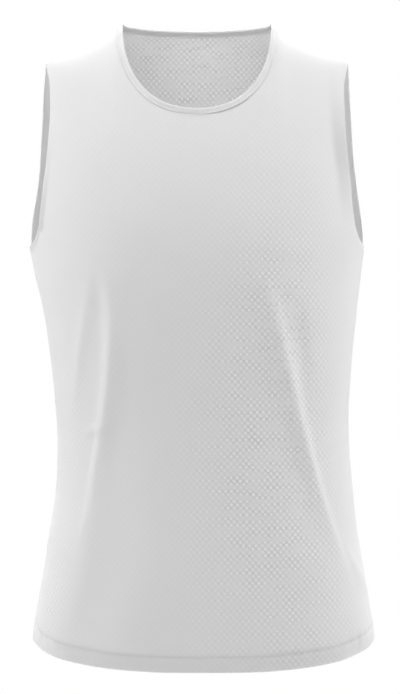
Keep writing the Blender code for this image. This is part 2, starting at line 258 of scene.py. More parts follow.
Grid = namedtuple("Grid", "share rise depth there edge_column under_row")
HEM_HEIGHT = 0.0148  # from the hem's edge up to its stitches
HEM_FOLD = 0.0010  # radius of the fold at the hem's edge
HEM_INSIDE = (0.0166, 0.0148, 0.0120, 0.0090, 0.0060, 0.0035, 0.0020)  # heights of rows inside
HEM_OUTSIDE = (0.0020, 0.0035, 0.0055, 0.0078, 0.0102, 0.0122, 0.0136, 0.0148, 0.0160, 0.0178)
HEM_FOLD_ROWS = 7
FINE = 4  # fine columns to each coarse one
SEAM_COLUMNS = (0.16, 0.07)  # coarse columns from a side seam to two more, in its dent
BODY_ROWS = 140  # from the hem to the underarm
CHEST_ROWS = {"front": 46, "back": 64}
SHOULDER_ROWS = {"front": 46, "back": 26}
SHOULDER_ROW_POWER = 1.6  # crowds the rows towards the shoulder seam


def panel_grid(cut):
    """Share and rise of every grid point of a panel, how deep each lies, and which it has.

    Rows run from the turned-up edge, round the fold at the hem, up the body, and on
    beside the neck. Each edge of the panel follows a grid line.
    """
    even = np.linspace(0, COLUMNS, COLUMNS * FINE + 1)
    half = np.sort(np.concatenate([even, COLUMNS - np.array(SEAM_COLUMNS)]))
    centred = np.concatenate([-half[:0:-1], half])
    column = np.abs(centred)[None, :]
    under_share, under_rise = underarm_row(cut, column)

    # the hem, from the turned-up edge inside, round the fold and up the outside
    turn = np.linspace(0, np.pi, HEM_FOLD_ROWS)
    height = np.concatenate([HEM_INSIDE, HEM_FOLD * (1 - np.sin(turn)), HEM_OUTSIDE])[:, None]
    inner = np.full(len(HEM_INSIDE), 2 * HEM_FOLD)
    depth = np.concatenate([inner, HEM_FOLD * (1 + np.cos(turn)), np.zeros(len(HEM_OUTSIDE))])
    full = UNDERARM_HEIGHT - hem_level(column / COLUMNS)
    hem_part = height / full
    body_part = np.linspace(0, 1, BODY_ROWS)[1:, None]
    body_part = hem_part[-1:] + (1 - hem_part[-1:]) * body_part
    part = np.concatenate([hem_part, body_part])
    share = column / COLUMNS + (under_share - column / COLUMNS) * part**2
    rise = -1 + (1 + under_rise) * part
    body_rows = len(part)

    # the chest, from the underarm to the low part of the neck, along the armhole's edge
    low_share, low_rise = rows_beside_neck(cut, column, np.array([[float(NECK_TURN)]]))
    low_turn = NECK_TURN * np.minimum(column / cut.neck_columns, 1)
    neck_share, neck_rise = neckline(cut, low_turn, UNDER_BINDING)
    middle = column <= cut.neck_columns
    low_share = np.where(middle, neck_share, low_share)
    low_rise = np.where(middle, neck_rise, low_rise)
    part = np.linspace(0, 1, CHEST_ROWS[cut.name])[1:, None]
    chest_share = under_share + (low_share - under_share) * part
    chest_rise = under_rise + (low_rise - under_rise) * part
    edge = np.argmin(np.abs(centred - cut.edge_columns))
    armhole = quarters_of(armhole_reach(cut, chest_rise[:, [edge]]), CHEST_SQUARENESS)
    moved = (armhole - chest_share[:, [edge]]) * (column / cut.edge_columns) ** 2

    # the shoulders, beside the neck
    part = np.linspace(1, 0, SHOULDER_ROWS[cut.name])[1:, None]
    turns = 90 - (90 - NECK_TURN) * part**SHOULDER_ROW_POWER
    top_share, top_rise = rows_beside_neck(cut, column, turns)

    share = np.concatenate([share, chest_share + moved, top_share]) * np.sign(centred)
    rise = np.concatenate([rise, chest_rise, top_rise])
    row = np.arange(len(rise))[:, None]
    low_row = body_rows + CHEST_ROWS[cut.name] - 2
    inside_armhole = (row <= body_rows - 1) | (column <= cut.edge_columns)
    outside_neck = (row <= low_row) | (column >= cut.neck_columns)
    deep = np.zeros(len(rise))
    deep[: len(depth)] = depth
    there = inside_armhole & outside_neck
    return Grid(share, rise, deep[:, None], there, edge, body_rows - 1)


# Long soft folds and small creases. Each runs between two places on the panel, given by
# the share round it and the level. bend and sway are how far its path leaves the straight
# line, in one bow and in an S, to the right of a path that runs down. width is its half
# width, rise its height, less than 0 for a trough, and lean makes its right flank steeper
# when positive. peak is the share of its way along where it is highest.
Crease = namedtuple(
    "Crease", "panel share height to_share to_height bend sway width rise lean peak"
)
CREASES = (
    Crease("front", -0.350, -0.255, -0.508, -0.550, 0.004, 0.0040, 0.0090, 0.0048, -0.30, 0.42),
    Crease("front", -0.385, -0.245, -0.615, -0.410, -0.001, 0.0, 0.0088, 0.0022, 0.0, 0.50),
    Crease("front", -0.300, -0.400, -0.425, -0.700, 0.0, 0.0, 0.0230, -0.0034, -0.20, 0.60),
    Crease("front", 0.238, -0.262, 0.610, -0.595, 0.001, 0.0, 0.0092, 0.0060, 0.32, 0.42),
    Crease("front", 0.560, -0.520, 0.860, -0.590, -0.010, 0.0, 0.0090, 0.0016, 0.20, 0.50),
    Crease("front", 0.375, -0.285, 0.450, -0.385, 0.0, 0.0, 0.0080, -0.0018, 0.0, 0.50),
    Crease("front", 0.500, -0.600, 0.570, -0.670, 0.0, 0.0, 0.0150, -0.0024, 0.0, 0.70),
    Crease("front", -0.545, -0.4265, -0.390, -0.4165, 0.001, 0.0, 0.0048, 0.0017, 0.0, 0.50),
    Crease("front", 0.120, -0.240, 0.520, -0.243, 0.0, 0.002, 0.0120, 0.0014, 0.0, 0.60),
    Crease("back", 0.400, -0.250, 0.720, -0.590, -0.006, 0.004, 0.0100, 0.0044, 0.30, 0.45),
    Crease("back", 0.450, -0.235, 0.660, -0.390, 0.002, 0.0, 0.0090, 0.0020, 0.0, 0.50),
    Crease("back", -0.380, -0.275, -0.790, -0.585, 0.008, 0.0, 0.0090, 0.0042, -0.30, 0.50),
    Crease("back", -0.330, -0.420, -0.420, -0.700, 0.0, 0.0, 0.0220, -0.0030, 0.20, 0.60),
    Crease("back", -0.250, -0.130, 0.180, -0.140, -0.006, 0.002, 0.0160, 0.0016, 0.0, 0.50),
)
QUARTER_GIRTH = 0.245  # along the cloth from the centre of a panel to a side seam


def bell(away, reach=1.0):
    """Bell curve of a distance: 1 at its middle, and about a third at its reach."""
    return np.exp(-((away / reach) ** 2))


def crease_lift(cut, share, height):
    """Height of the creases: a bell across each path and a sine along it.

    The path is a straight line with a half sine and a whole sine added to its side.
    """
    lift = np.zeros(np.shape(height))
    for crease in CREASES:
        if crease.panel != cut.name:
            continue
        run_across = (crease.to_share - crease.share) * QUARTER_GIRTH
        run_down = crease.to_height - crease.height
        length = np.hypot(run_across, run_down)
        across, down = (share - crease.share) * QUARTER_GIRTH, height - crease.height
        along = np.clip((across * run_across + down * run_down) / length**2, 0, 1)
        aside = (down * run_across - across * run_down) / length
        aside = aside - crease.bend * np.sin(np.pi * along)
        aside = aside - crease.sway * np.sin(2 * np.pi * along)
        away = aside / crease.width
        away = away * (1 + crease.lean * np.tanh(away))
        highest = along ** (np.log(0.5) / np.log(crease.peak))
        lift = lift + crease.rise * np.sin(np.pi * highest) * bell(away)
    return lift


SEAM_DENT = 0.0006  # how far a seam pulls the cloth in
SEAM_REACH = 0.0024  # to each side of the seam
STITCH_DENT = 0.0003  # how far the hem's stitches pull it in
STITCH_REACH = 0.0013
PUCKER = 0.00018
SEAM_PUCKER_REACH = 0.0070
HEM_PUCKER_REACH = 0.0065
SIDE_SEAM_TOP = 0.15  # rise that the side seams end below
SHOULDER_SEAM_FOOT = 0.6  # rise that the shoulder seams lie above

# Cosines that make puckers uneven. length is for one radian, and drift moves a cosine to
# and fro by so many radians, as another over drift_length.
Ripple = namedtuple("Ripple", "length height start drift drift_length", defaults=(1, 0, 0, 1))
SEAM_RIPPLES = (Ripple(0.0017), Ripple(0.0027, 0.7, 1.3))
HEM_RIPPLES = (Ripple(0.0021, drift=2.0, drift_length=0.031), Ripple(0.0041, 0.8, 0.6))
BINDING_RIPPLES = (Ripple(0.0019, drift=1.5, drift_length=0.021),)


def rippled(ripples, along):
    """Sum of cosines of a length along a seam."""
    drifts = (ripple.drift * np.cos(along / ripple.drift_length) for ripple in ripples)
    return sum(
        ripple.height * np.cos(along / ripple.length + ripple.start + drift)
        for ripple, drift in zip(ripples, drifts)
    )


def above_hem(share, rise):
    """Height above the hem's edge, up to the underarm."""
    return (1 + np.minimum(rise, 0)) * (UNDERARM_HEIGHT - hem_level(share))


def sewn_lift(share, rise, point):
    """How sewing pulls the cloth in: bell dents along the seams and the hem's stitches.

    Puckers cross both, highest there, in a bell of their own.
    """
    x, y, z = np.moveaxis(point, -1, 0)
    from_side = np.where(rise < SIDE_SEAM_TOP, (1 - np.abs(share)) * QUARTER_GIRTH, FAR)
    from_shoulder = np.where(rise > SHOULDER_SEAM_FOOT, np.abs(y), FAR)
    from_seam = np.minimum(from_side, from_shoulder)
    along = np.where(rise > SHOULDER_SEAM_FOOT, x, z)
    seam_puckers = rippled(SEAM_RIPPLES, along) * bell(from_seam, SEAM_PUCKER_REACH)
    from_stitch = above_hem(share, rise) - HEM_HEIGHT
    hem_puckers = rippled(HEM_RIPPLES, share * QUARTER_GIRTH)
    hem_puckers = hem_puckers * bell(from_stitch, HEM_PUCKER_REACH)
    dent = SEAM_DENT * bell(from_seam, SEAM_REACH) + STITCH_DENT * bell(from_stitch, STITCH_REACH)
    return PUCKER * (seam_puckers + hem_puckers) - dent


# Slanting sines that the slack of limp cloth is the sum of, 50 to 120 mm long. x, y and z
# are radians for each metre, and drift moves a sine by so many radians, as another over
# drift_x and drift_z.
Slack = namedtuple("Slack", "x y z start drift drift_x drift_z height")
SLACK = (
    Slack(52, 0, 31, 0.0, 1.1, 0, 23, 0.00035),
    Slack(71, 40, -47, 0.6, 0.0, 0, 0, 0.00025),
    Slack(28, 0, 95, 0.0, 1.7, 19, 0, 0.00020),
)
SLACK_SIDE_FADE = 0.125  # of the share: how far from a side seam slack is full
SLACK_SHOULDER_FADE = 1 / 6  # of the rise, from a shoulder seam


def slack_lift(share, rise, point):
    """Slight unevenness of limp cloth: a sum of sines, faded out towards the seams."""
    x, y, z = np.moveaxis(point, -1, 0)
    lift = np.zeros(x.shape)
    for slack in SLACK:
        drift = slack.drift * np.sin(slack.drift_x * x + slack.drift_z * z)
        turned = slack.x * x + slack.y * y + slack.z * z + slack.start + drift
        lift = lift + slack.height * np.sin(turned)
    side_fade = np.clip((1 - np.abs(share)) / SLACK_SIDE_FADE, 0, 1)
    return lift * side_fade * np.clip((1 - rise) / SLACK_SHOULDER_FADE, 0, 1)


EDGE_CURL = 0.0007  # how far in a cut armhole edge curls
EDGE_CURL_REACH = 0.0060  # from the edge
CURL_POWER = 1.35  # of the larger curls, whose slope is nearly even
PAINTED_SHADE_END = 3.0  # times shorter the soft inner end of the painted shade beside an armhole is than its reach

# Where an armhole edge stands out more. side is the sign of X. The last column is painted shade:
# how far the knit's colour is darkened there, standing in for the shade that falls beside the
# armhole.
Curl = namedtuple("Curl", "panel side height span reach rise thin")
CURLS = (
    Curl("front", -1, -0.210, 0.060, 0.0100, 0.0008, 0.55),
    Curl("front", 1, -0.140, 0.050, 0.0230, 0.0016, 0.62),
    Curl("back", 1, -0.145, 0.050, 0.0140, 0.0008, 0.0),
    Curl("back", -1, -0.130, 0.050, 0.0180, 0.0008, 0.0),
)


def near_curls(cut, share, height, from_armhole):
    """Each curl of a panel, with its bell along the edge and the way from its start to there."""
    for curl in CURLS:
        if curl.panel == cut.name:
            span = bell(height - curl.height, curl.span)
            yield curl, np.where(share * curl.side > 0, span, 0), 1 - from_armhole / curl.reach


def curl_lift(cut, share, height, from_armhole):
    """How armhole edges curl: powers of the way from where a curl starts to the edge."""
    lift = -EDGE_CURL * np.clip(1 - from_armhole / EDGE_CURL_REACH, 0, 1) ** 2
    for curl, span, near in near_curls(cut, share, height, from_armhole):
        lift = lift + curl.rise * span * np.clip(near, 0, 1) ** CURL_POWER
    return lift


def armhole_painted_shade(cut, share, height, from_armhole):
    """Painted shade beside an armhole, darkening the knit where shade falls: even, with a short
    soft end inwards.
    """
    thin = np.zeros(np.shape(height))
    for curl, span, near in near_curls(cut, share, height, from_armhole):
        thin = thin + curl.thin * span * np.clip(near * PAINTED_SHADE_END, 0, 1)
    return thin


def armhole_distance(grid, lengths):
    """Length along the cloth from the armhole's edge, along a row or up from below it."""
    beside = np.abs(lengths[:, [grid.edge_column], 0]) - np.abs(lengths[..., 0])
    below = lengths[[grid.under_row], :, 1] - lengths[..., 1]
    return np.hypot(np.maximum(beside, 0), np.maximum(below, 0))


def cloth_point(cut, share, rise, depth=0.0, from_armhole=FAR):
    """Point of a panel's outer face: the form, lifted by creases, slack, sewing and curl."""
    form = form_point(cut, share, rise)
    height = form[..., 2]
    lift = crease_lift(cut, share, height) + slack_lift(share, rise, form)
    lift = lift + sewn_lift(share, rise, form) + curl_lift(cut, share, height, from_armhole)
    point = form + form_normal(cut, share, rise) * (lift - depth)[..., None]
    point[..., 1] += np.where(on_seam(share, rise), cut.side * SEAM_GAP / 2, 0)
    return point


LENGTH_STEPS = 15  # in which a length along the cloth is added up


def length_along(line):
    """Length along a line from its first point to each."""
    return np.concatenate([[0], np.cumsum(np.linalg.norm(np.diff(line, axis=0), axis=1))])


def cloth_lengths(cut, share, rise):
    """Lengths along the cloth in metres, round from the centre and up from the underarm."""
    steps = np.linspace(0, 1, LENGTH_STEPS)[:, None, None]
    paths = form_point(cut, share * steps, rise), form_point(cut, share, rise * steps)
    round_it, up_it = (np.linalg.norm(np.diff(p, axis=0), axis=-1).sum(axis=0) for p in paths)
    return np.stack([np.sign(share) * round_it, np.sign(rise) * up_it], axis=-1)


CLEAR_KNIT = "clear_knit"  # the attribute that says how clear the bubbles are
DOUBLED_KNIT = "doubled_knit"  # the attribute that is 1 where the cloth is doubled
PAINTED_SHADE_KNIT = "painted_armhole_shade"  # the attribute that says how much painted shade darkens the knit
DOUBLED_END = 0.0012  # over which doubled cloth ends softly

# Where the bubbles of the knit stand out: soft ovals round a place on the panel. Elsewhere
# the cloth is smooth, as where it is stretched.
Patch = namedtuple("Patch", "panel share height half_share half_height strength")
PATCH_FLATNESS = 1.5  # 1 would be a plain bell
PATCHES = (
    Patch("front", 0.32, -0.450, 0.23, 0.220, 1.00),
    Patch("front", 0.28, -0.300, 0.18, 0.070, 0.40),
    Patch("front", 0.06, -0.470, 0.15, 0.180, 0.34),
    Patch("front", -0.98, -0.470, 0.16, 0.200, 0.45),
    Patch("front", -0.66, -0.590, 0.12, 0.070, 0.45),
    Patch("front", -0.62, -0.420, 0.10, 0.080, 0.20),
    Patch("front", 0.98, -0.300, 0.14, 0.300, 0.35),
    Patch("front", 0.30, -0.180, 0.20, 0.050, 0.08),
    Patch("back", 0.00, -0.050, 0.42, 0.050, 1.40),
    Patch("back", -0.40, -0.430, 0.30, 0.180, 0.80),
    Patch("back", 0.50, -0.300, 0.25, 0.150, 0.45),
    Patch("back", 0.95, -0.480, 0.20, 0.150, 0.40),
)


def clearness(cut, share, height):
    """How clear the bubbles are: the patches' flattened bell curves together, at most 1."""
    clear = np.zeros(np.shape(height))
    for patch in PATCHES:
        if patch.panel == cut.name:
            away = ((share - patch.share) / patch.half_share) ** 2
            away = away + ((height - patch.height) / patch.half_height) ** 2
            clear = clear + patch.strength * np.exp(-(away**PATCH_FLATNESS))
    return np.minimum(clear, 1)


def doubledness(share, rise):
    """1 where the hem doubles the cloth, with a soft end at its stitches."""
    return np.clip((HEM_HEIGHT - above_hem(share, rise)) / DOUBLED_END + 0.5, 0, 1)


def grid_faces(number):
    """Quads between the neighbours of a grid, given by the numbers of its points."""
    corners = [number[:-1, :-1], number[:-1, 1:], number[1:, 1:], number[1:, :-1]]
    return np.stack(corners, axis=-1).reshape(-1, 4)


def add_object(name, data):
    """A new object with this data, linked to the scene."""
    thing = bpy.data.objects.new(name, data)
    bpy.context.scene.collection.objects.link(thing)
    return thing


def new_piece(name, material, points, faces, lengths=None, marks=()):
    """Adds a mesh object, smooth shaded, with its points' lengths along the cloth as a UV map.

    marks gives attributes by name, with a value from 0 to 1 for each point.
    """
    mesh = bpy.data.meshes.new(name)
    mesh.from_pydata(points.reshape(-1, 3).tolist(), [], faces.tolist())
    for mark, value in dict(marks).items():
        mesh.attributes.new(mark, "FLOAT", "POINT").data.foreach_set("value", value)
    if lengths is not None:
        corner = np.empty(len(mesh.loops), int)
        mesh.loops.foreach_get("vertex_index", corner)
        layer = mesh.uv_layers.new(name="along_cloth")
        layer.data.foreach_set("uv", lengths.reshape(-1, 2)[corner].ravel())
    mesh.shade_smooth()
    mesh.materials.append(material)
    return add_object(name, mesh)


SOFT_EDGE_ANGLE = np.radians(50)  # from which an edge of a wall is rounded


def give_wall(piece, thickness, soft_edge=None, even=False):
    """Gives a surface its wall, inwards, and rounds its edges where their size is given."""
    wall = piece.modifiers.new("wall", "SOLIDIFY")
    wall.thickness = thickness
    wall.offset = -1
    wall.use_even_offset = even
    if soft_edge:
        edge = piece.modifiers.new("soft_edge", "BEVEL")
        edge.width = soft_edge
        edge.segments = 2
        edge.limit_method = "ANGLE"
        edge.angle_limit = SOFT_EDGE_ANGLE


def linear(code):
    """sRGB hex code to a linear colour with alpha."""
    value = np.array([int(code[i : i + 2], 16) for i in (1, 3, 5)]) / 255
    value = np.where(value <= 0.04045, value / 12.92, ((value + 0.055) / 1.055) ** 2.4)
    return (*value.tolist(), 1.0)


def add_node(tree, kind, links=(), inputs=(), **settings):
    """Adds a shader node, and sets its own properties.

    links gives, for an input's number or name, the socket that goes into it, or a node
    for its first one, and inputs the constant value of each other input.
    """
    node = tree.nodes.new("ShaderNode" + kind)
    for name, value in settings.items():
        setattr(node, name, value)
    for to, value in dict(inputs).items():
        node.inputs[to].default_value = value
    for to, source in dict(links).items():
        socket = source.outputs[0] if isinstance(source, bpy.types.Node) else source
        tree.links.new(socket, node.inputs[to])
    return node


def new_material(name, inputs):
    """A new material, its node tree and its shader, with the shader's constant inputs."""
    material = bpy.data.materials.new(name)
    material.use_nodes = True
    shader = material.node_tree.nodes["Principled BSDF"]
    for to, value in inputs.items():
        shader.inputs[to].default_value = value
    return material, material.node_tree, shader


def wave(tree, coordinate, length):
    """Cosine of a length along the cloth, one period to each length in metres."""
    turned = add_node(tree, "Math", {0: coordinate}, {1: 2 * np.pi / length}, operation="MULTIPLY")
    return add_node(tree, "Math", {0: turned}, operation="COSINE")


BUBBLE_ACROSS = 0.0062  # from one raised bubble of the knit to the next in its row
BUBBLE_ROWS = 0.0034  # from row to row; each row is half a step to the side of the last
BUBBLE_WANDER = (0.0022, 0.0014, 0.0)  # how far the bubbles stray, round and up
BUBBLE_EDGE = (-0.35, 0.85)  # of the cosines' product, from a bubble's foot to its top
BUBBLE_MEAN = 0.34  # of the bubbles' own height, which smooth cloth has all over
BUBBLE_HEIGHT = 0.0005  # of their relief, which is shaded and not modelled
CLEAR_EVERYWHERE = 0.04  # how clear the bubbles are outside the patches
STREAKS = (50.0, 190.0, 1.0)  # for each metre, round and up, of the noise in the patches
STREAK_NOISE = (0.40, 0.62)  # from where it hides the bubbles to where it shows them
STREAK_SHOWS = (0.10, 0.95)  # how far the bubbles show at those two
DOUBLED_WHITE = 0.30  # how much whiter doubled cloth is, on the scale from dips to bubbles
LOOP = 0.0014  # of the yarn's loops, drawn as coarse as they need to show
LOOP_HEIGHT = 0.05  # of a bubble's


def mesh_knit_material():
    """Polyester mesh knit: matte white, with rows of small raised bubbles and a soft sheen.

    The bubbles are a product of two cosines along the cloth. They are clear in the
    patches only, and there a noise in flat streaks breaks them up.
    """
    material, tree, shader = new_material("white_mesh_knit", {
        "Roughness": 0.82,
        "Specular IOR Level": 0.25,
        "Sheen Weight": 0.12,
        "Sheen Roughness": 0.5,
        "Subsurface Weight": 0.7,
        "Subsurface Radius": (1.0, 1.0, 1.0),
        "Subsurface Scale": 0.0021,
    })

    # the bubbles, straying a little from their rows
    place = add_node(tree, "UVMap", uv_map="along_cloth")
    object_place = add_node(tree, "TexCoord")
    wander = add_node(
        tree, "TexNoise", {"Vector": object_place.outputs["Object"]},
        {"Scale": 55.0, "Detail": 1.0},
    )
    moved = add_node(
        tree, "VectorMath", {0: wander.outputs["Color"], 2: place},
        {1: BUBBLE_WANDER}, operation="MULTIPLY_ADD",
    )
    lengths = add_node(tree, "SeparateXYZ", {0: moved})
    round_it, up_it = lengths.outputs[0], lengths.outputs[1]
    across, rows = wave(tree, round_it, BUBBLE_ACROSS), wave(tree, up_it, 2 * BUBBLE_ROWS)
    cells = add_node(tree, "Math", {0: across, 1: rows}, operation="MULTIPLY")
    bubble = add_node(
        tree, "MapRange", {0: cells},
        {1: BUBBLE_EDGE[0], 2: BUBBLE_EDGE[1], 3: 0.0, 4: 1.0}, interpolation_type="SMOOTHSTEP",
    )

    # how clear they are, from the patches and the streaks in them
    streaked = add_node(tree, "VectorMath", {0: place}, {1: STREAKS}, operation="MULTIPLY")
    streaks = add_node(tree, "TexNoise", {"Vector": streaked}, {"Scale": 1.0, "Detail": 2.0})
    broken = add_node(
        tree, "MapRange", {0: streaks},
        {1: STREAK_NOISE[0], 2: STREAK_NOISE[1], 3: STREAK_SHOWS[0], 4: STREAK_SHOWS[1]},
    )
    patch = add_node(tree, "Attribute", attribute_name=CLEAR_KNIT)
    clear = add_node(
        tree, "Math", {0: patch.outputs["Fac"], 1: broken},
        {2: CLEAR_EVERYWHERE}, operation="MULTIPLY_ADD",
    )
    above_mean = add_node(tree, "Math", {0: bubble}, {1: BUBBLE_MEAN}, operation="SUBTRACT")
    raised = add_node(
        tree, "Math", {0: above_mean, 1: clear}, {2: BUBBLE_MEAN}, operation="MULTIPLY_ADD"
    )

    # their relief, and the yarn's loops in it
    loops = add_node(
        tree, "Math", {0: wave(tree, round_it, LOOP), 1: wave(tree, up_it, LOOP)},
        operation="MULTIPLY",
    )
    height = add_node(
        tree, "Math", {0: loops, 2: raised}, {1: LOOP_HEIGHT}, operation="MULTIPLY_ADD"
    )
    bump = add_node(tree, "Bump", {"Height": height}, {"Strength": 1.0, "Distance": BUBBLE_HEIGHT})
    tree.links.new(bump.outputs[0], shader.inputs["Normal"])

    # their white, which doubled cloth has more of, then painted shade that darkens the knit beside
    # the armholes
    doubled = add_node(tree, "Attribute", attribute_name=DOUBLED_KNIT)
    white = add_node(
        tree, "Math", {0: doubled.outputs["Fac"], 2: raised},
        {1: DOUBLED_WHITE}, operation="MULTIPLY_ADD", use_clamp=True,
    )
    colour = add_node(
        tree, "Mix", {0: white}, {6: linear("#DADADA"), 7: linear("#FCFCFC")}, data_type="RGBA"
    )
    # painted shade: the knit is mixed towards #C6C6C6 beside the armholes, standing in for the
    # shade that falls there
    thin = add_node(tree, "Attribute", attribute_name=PAINTED_SHADE_KNIT)
    shaded = add_node(
        tree, "Mix", {0: thin.outputs["Fac"], 6: colour.outputs[2]},
        {7: linear("#C6C6C6")}, data_type="RGBA",
    )
    tree.links.new(shaded.outputs[2], shader.inputs["Base Color"])
    return material


def add_panel(cut):
    """A front or back: one surface over its grid, given its wall inwards."""
    grid = panel_grid(cut)
    lengths = cloth_lengths(cut, grid.share, grid.rise)
    from_armhole = armhole_distance(grid, lengths)
    point = cloth_point(cut, grid.share, grid.rise, grid.depth, from_armhole)
    number = np.full(grid.there.shape, -1)
    number[grid.there] = np.arange(grid.there.sum())
    faces = grid_faces(number)
    faces = faces[(faces >= 0).all(axis=-1)]
    if cut.side > 0:
        faces = faces[:, ::-1]  # so that the back's faces point outwards too
    marks = {
        CLEAR_KNIT: clearness(cut, grid.share, point[..., 2])[grid.there],
        DOUBLED_KNIT: doubledness(grid.share, grid.rise)[grid.there],
        # painted shade beside the armholes
        PAINTED_SHADE_KNIT: armhole_painted_shade(cut, grid.share, point[..., 2], from_armhole)[grid.there],
    }
    points, lengths = point[grid.there], lengths[grid.there]
    piece = new_piece(cut.name + "_knit", knit, points, faces, lengths, marks)
    give_wall(piece, WALL, soft_edge=0.0003, even=True)
    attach(piece, "root")
    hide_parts(cut.name + "_panel")
    return piece


knit = mesh_knit_material()
front_knit = add_panel(FRONT)

# BACK PANEL
# The same knit, cut higher at the neck and wider at the armholes, and turned up with
# the front in one hem. It shows inside the neck and as a sliver at each armhole.

BACK = Cut("back", 1, 2.15, 0.0020, 1.85, -0.1970, 2.0, 7, 20)
back_knit = add_panel(BACK)

# NECK BINDING
# A narrow strip of the knit, folded over the raw neck edge and sewn down in one round,
# so that its two legs hold the panels' edges between them.

BINDING_WIDTH = 0.0065  # from the neck seam to the fold
BINDING_OVERLAP = 0.0002  # how far its legs reach past the neck seam
BINDING_WALL = 0.0007
BINDING_OUT = 0.0009  # of its outer leg from the cloth's face
BINDING_IN = 0.0018  # of its inner leg from the cloth's face
BINDING_PUCKER = 0.00008
BINDING_DENT = 0.00035  # how far its stitches pull each leg in
BINDING_DENT_REACH = 0.0011
STITCH_FROM_EDGE = 0.0016  # of its stitches, from its outer edge
RIB = 0.0013  # from one fine rib of its jersey to the next
TURNS = 140  # points round each panel's neck
LEG_POINTS = 10
FOLD_POINTS = 9


def binding_material():
    """Folded jersey: smoother and denser than the mesh, so that it lets no light through.

    Fine ribs run across the strip, as a cosine along it.
    """
    material, tree, shader = new_material("white_folded_jersey", {
        "Base Color": linear("#EAEAEA"),
        "Roughness": 0.78,
        "Specular IOR Level": 0.25,
        "Sheen Weight": 0.1,
    })
    place = add_node(tree, "UVMap", uv_map="along_cloth")
    lengths = add_node(tree, "SeparateXYZ", {0: place})
    ribs = wave(tree, lengths.outputs[0], RIB)
    bump = add_node(tree, "Bump", {"Height": ribs}, {"Strength": 0.5, "Distance": 0.00015})
    tree.links.new(bump.outputs[0], shader.inputs["Normal"])
    return material


def neck_path():
    """Neck seam round front and back: points, outward and into-neck directions, lengths."""
    turn = np.linspace(-90, 90, TURNS)
    halves = []
    for cut, order in ((FRONT, 1), (BACK, -1)):
        share, rise = neckline(cut, np.abs(turn))
        place = share * np.sign(turn), rise
        halves.append([form_point(cut, *place)[::order], form_normal(cut, *place)[::order]])
    seam, outward = (np.concatenate([front, back[1:-1]]) for front, back in zip(*halves))
    forward = np.roll(seam, -1, axis=0) - np.roll(seam, 1, axis=0)
    inward = unit(np.cross(outward, forward))
    step = np.linalg.norm(np.roll(seam, -1, axis=0) - seam, axis=1)
    return seam, outward, inward, np.cumsum(step) - step, step.sum()


seam, outward, inward, along_neck, neck_length = neck_path()
radius = (BINDING_OUT + BINDING_IN) / 2
leg = np.linspace(-BINDING_OVERLAP, BINDING_WIDTH - radius, LEG_POINTS)
turn = np.linspace(0, np.pi, FOLD_POINTS)[1:-1]
fold = (BINDING_OUT - BINDING_IN) / 2 + radius * np.cos(turn)
over = np.concatenate([leg, leg[-1] + radius * np.sin(turn), leg[::-1]])
out = np.concatenate([np.full(LEG_POINTS, BINDING_OUT), fold, np.full(LEG_POINTS, -BINDING_IN)])
out = out - np.sign(out) * BINDING_DENT * bell(over - STITCH_FROM_EDGE, BINDING_DENT_REACH)
puckers = BINDING_PUCKER * rippled(BINDING_RIPPLES, along_neck)
out = out[None, :] + puckers[:, None] * np.sign(out)
point = seam[:, None] + inward[:, None] * over[None, :, None] + outward[:, None] * out[..., None]
strip = length_along(np.stack([over, out[0]], axis=1))
lengths = np.stack(np.broadcast_arrays(along_neck[:, None], strip[None, :]), axis=-1)
number = np.arange(out.size).reshape(out.shape)
faces = grid_faces(np.concatenate([number, number[:1]]))  # the ring is closed lengthwise
faces = faces[:, [0, 3, 2, 1]]  # so that they point outwards
binding = new_piece("neck_binding", binding_material(), point, faces, lengths)
give_wall(binding, BINDING_WALL)
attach(binding, "root")
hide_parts("neck_band")

# SEAM ALLOWANCES
# At each side and each shoulder the raw edges of the two panels are sewn and overlocked
# together. The doubled edge is 6 mm wide and lies inside, turned to the back.

ALLOWANCE = 0.0060  # from the seam to the overlocked edge
ALLOWANCE_LAP = 0.0012  # how far the strip reaches to the front side of its seam
ALLOWANCE_LIFT = 0.0003  # off the panel's inner face
ALLOWANCE_THICKNESS = 0.0014  # of two layers pressed together
ALLOWANCE_END = 0.0040  # of the seam left free before an armhole
ALLOWANCE_FOOT = 0.0006  # of the seam left free above the turned-up edge
ALLOWANCE_NECK = 0.0005  # of the seam left free beside the neck seam
ALLOWANCE_LOOSE = 0.00015  # how far its free edge rises and falls to each side of the middle
ALLOWANCE_COLUMNS = 10
ALLOWANCE_STEPS = {"side": 150, "shoulder": 36}
SEAMS = (("side", -1), ("side", 1), ("shoulder", -1), ("shoulder", 1))
JUST_INSIDE = 0.999  # of the share or rise at a seam, where a panel has its own direction


def beside_seam(cut, share, rise, off, depth):
    """Point on the inner side of a panel, so far from its side seam or shoulder seam.

    A small step away from the seam gives the length that its share or rise stands for.
    """
    step = 1e-3
    at_side = rise < SHOULDER_SEAM_FOOT
    sideways, down = np.where(at_side, np.sign(share), 0), np.where(at_side, 0, 1)
    stepped = form_point(cut, share - step * sideways, rise - step * down)
    length = np.linalg.norm(stepped - form_point(cut, share, rise), axis=-1)
    part = off * step / length
    return cloth_point(cut, share - part * sideways, rise - part * down, depth)


def back_normal(share, rise):
    """Outward direction of the back, just inside its seam."""
    return form_normal(BACK, share * JUST_INSIDE, rise * JUST_INSIDE)


def seam_line(kind, side):
    """Share and rise along a seam: up a side from the hem, or out along a shoulder."""
    if kind == "side":
        height = UNDERARM_HEIGHT - hem_level(1.0)
        foot, end = HEM_INSIDE[0] + ALLOWANCE_FOOT, ALLOWANCE_END
        rise = np.linspace(-1 + foot / height, -end / height, ALLOWANCE_STEPS[kind])
        return np.full(len(rise), float(side)), rise
    start, end = NECK_HALF_WIDTH + ALLOWANCE_NECK, SHOULDER_HALF_WIDTH - ALLOWANCE_END
    across = np.linspace(start, end, ALLOWANCE_STEPS[kind])
    return side * quarters_of(across / TIP_HALF_WIDTH, CHEST_SQUARENESS), np.ones(len(across))


